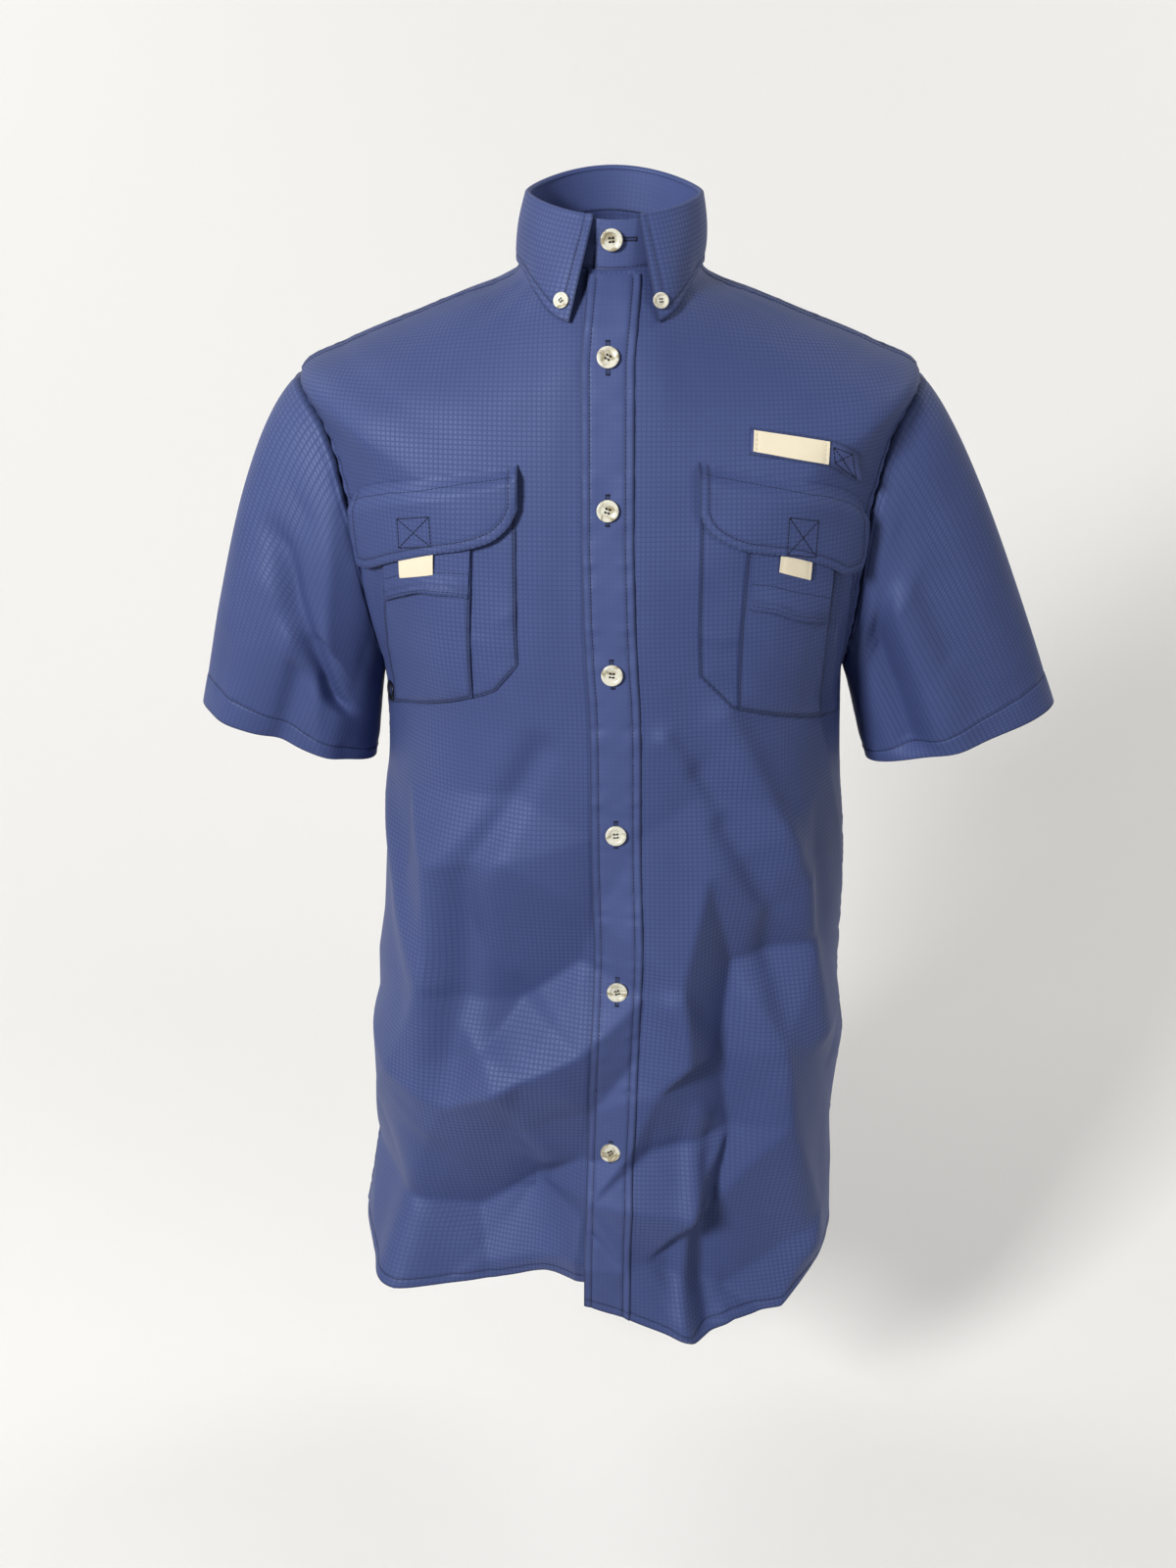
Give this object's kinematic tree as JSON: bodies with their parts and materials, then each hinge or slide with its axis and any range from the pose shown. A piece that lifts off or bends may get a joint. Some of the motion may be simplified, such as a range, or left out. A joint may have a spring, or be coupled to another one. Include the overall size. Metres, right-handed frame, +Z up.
{
  "type": "tactical shirt",
  "caption": "Short-sleeved button-front field shirt in its worn shape, with a button-down collar, flapped chest pockets, a rod tab and open neck, cuffs and hem.",
  "frame": {"origin": "middle of the neck seam, level with its lowest point in front, where the wearer's shoulders carry the shirt", "axes": "+Z up, towards the collar; -Y out of the front; +X towards the wearer's left"},
  "size_m": [0.6399, 0.292, 0.8613],
  "materials": {
    "shirt_cloth": "satin",
    "blank_label": "matte",
    "button": "gloss",
    "eyelet": "satin"
  },
  "bodies": {
    "root": {"front_right": "shirt_cloth", "front_left": "shirt_cloth", "placket": "shirt_cloth", "back": "shirt_cloth", "sleeve_right": "shirt_cloth", "sleeve_left": "shirt_cloth", "collar_stand": "shirt_cloth", "collar_leaf": "shirt_cloth", "right_pocket_base": "shirt_cloth", "right_pocket_front": "shirt_cloth", "right_pocket_welt": "shirt_cloth", "right_pocket_tab": "blank_label", "right_pocket_flap": "shirt_cloth", "left_pocket_base": "shirt_cloth", "left_pocket_front": "shirt_cloth", "left_pocket_welt": "shirt_cloth", "left_pocket_tab": "blank_label", "left_pocket_flap": "shirt_cloth", "eyelet": "eyelet", "rod_tab": "shirt_cloth", "rod_tab_label": "blank_label", "button_1": "button", "button_2": "button", "button_3": "button", "button_4": "button", "button_5": "button", "button_6": "button", "button_7": "button", "collar_button_right": "button", "collar_button_left": "button"}
  },
  "joints": []
}
